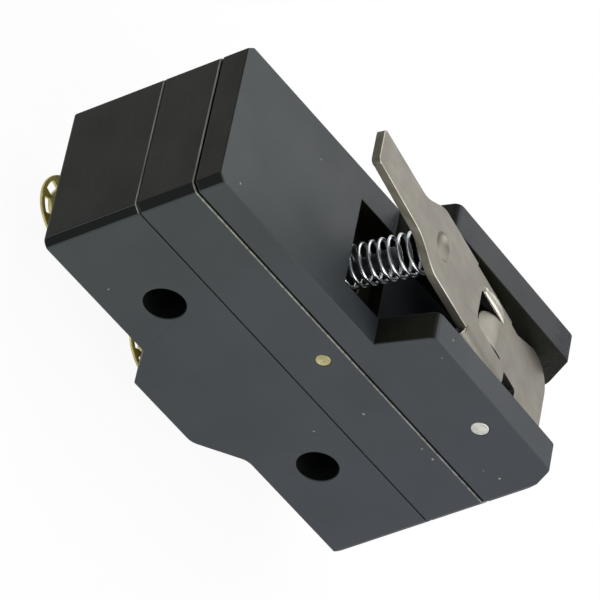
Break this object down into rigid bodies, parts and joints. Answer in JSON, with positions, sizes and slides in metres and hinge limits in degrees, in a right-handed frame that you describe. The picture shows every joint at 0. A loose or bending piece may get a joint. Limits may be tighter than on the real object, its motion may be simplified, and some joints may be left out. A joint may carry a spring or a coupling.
{
  "type": "lever micro switch",
  "caption": "Snap-action basic switch with a short hinge lever over a return spring, two mounting holes and screw terminals below.",
  "frame": {"origin": "midway between the two mounting holes, on their common plane, at half the body's thickness", "axes": "+X along the body toward the hinge end, +Y through the thickness along the mounting holes, +Z toward the lever"},
  "size_m": [0.0492, 0.0174, 0.0366],
  "materials": {
    "moulding": "dark grey thermoset, matt",
    "zinc_steel": "zinc plated",
    "lever_steel": "stainless sheet, satin",
    "bright_pin": "bright",
    "spring_wire": "bright drawn wire",
    "plunger_resin": "natural resin",
    "brass": "satin",
    "spring_copper": "rolled spring strip",
    "silver": "satin silver"
  },
  "bodies": {
    "body": {"case": "moulding", "cover": "moulding", "lever_bracket": "moulding", "stack_screws": "zinc_steel", "hinge_pin": "bright_pin", "return_spring": "spring_wire", "cover_pin": "brass", "com_terminal": "brass", "no_terminal": "brass", "nc_terminal": "brass", "terminal_screws": "brass", "cup_washers": "brass", "no_contact": "silver", "nc_contact": "silver", "blade_anchor": "brass", "anchor_rivet": "brass", "tongue_post": "brass"},
    "lever_arm": {"lever": "lever_steel"},
    "plunger_rod": {"plunger": "plunger_resin"},
    "blade": {"snap_blade": "spring_copper", "moving_contact": "silver"}
  },
  "joints": [
    {"name": "lever_hinge", "type": "hinge", "parent": "body", "child": "lever_arm", "pos_m": [0.0148, 0, 0.01745], "axis": [0, -1, 0], "range_deg": [0, 14], "stiffness_Nm_per_rad": 0.06, "springref_deg": -17.19, "deforming": ["return_spring"]},
    {"name": "plunger_slide", "type": "slide", "parent": "body", "child": "plunger_rod", "axis": [0, 0, -1], "range_m": [0, 0.00095]},
    {"name": "blade_snap", "type": "hinge", "parent": "body", "child": "blade", "pos_m": [-0.0168, 0, 0.00735], "axis": [0, 1, 0], "range_deg": [0, 1.8]}
  ],
  "couplings": [
    {"joint": "plunger_slide", "follows": "lever_hinge", "m_per_rad": 0.00368},
    {"joint": "blade_snap", "follows": "lever_hinge", "ratio": 0.1214}
  ]
}
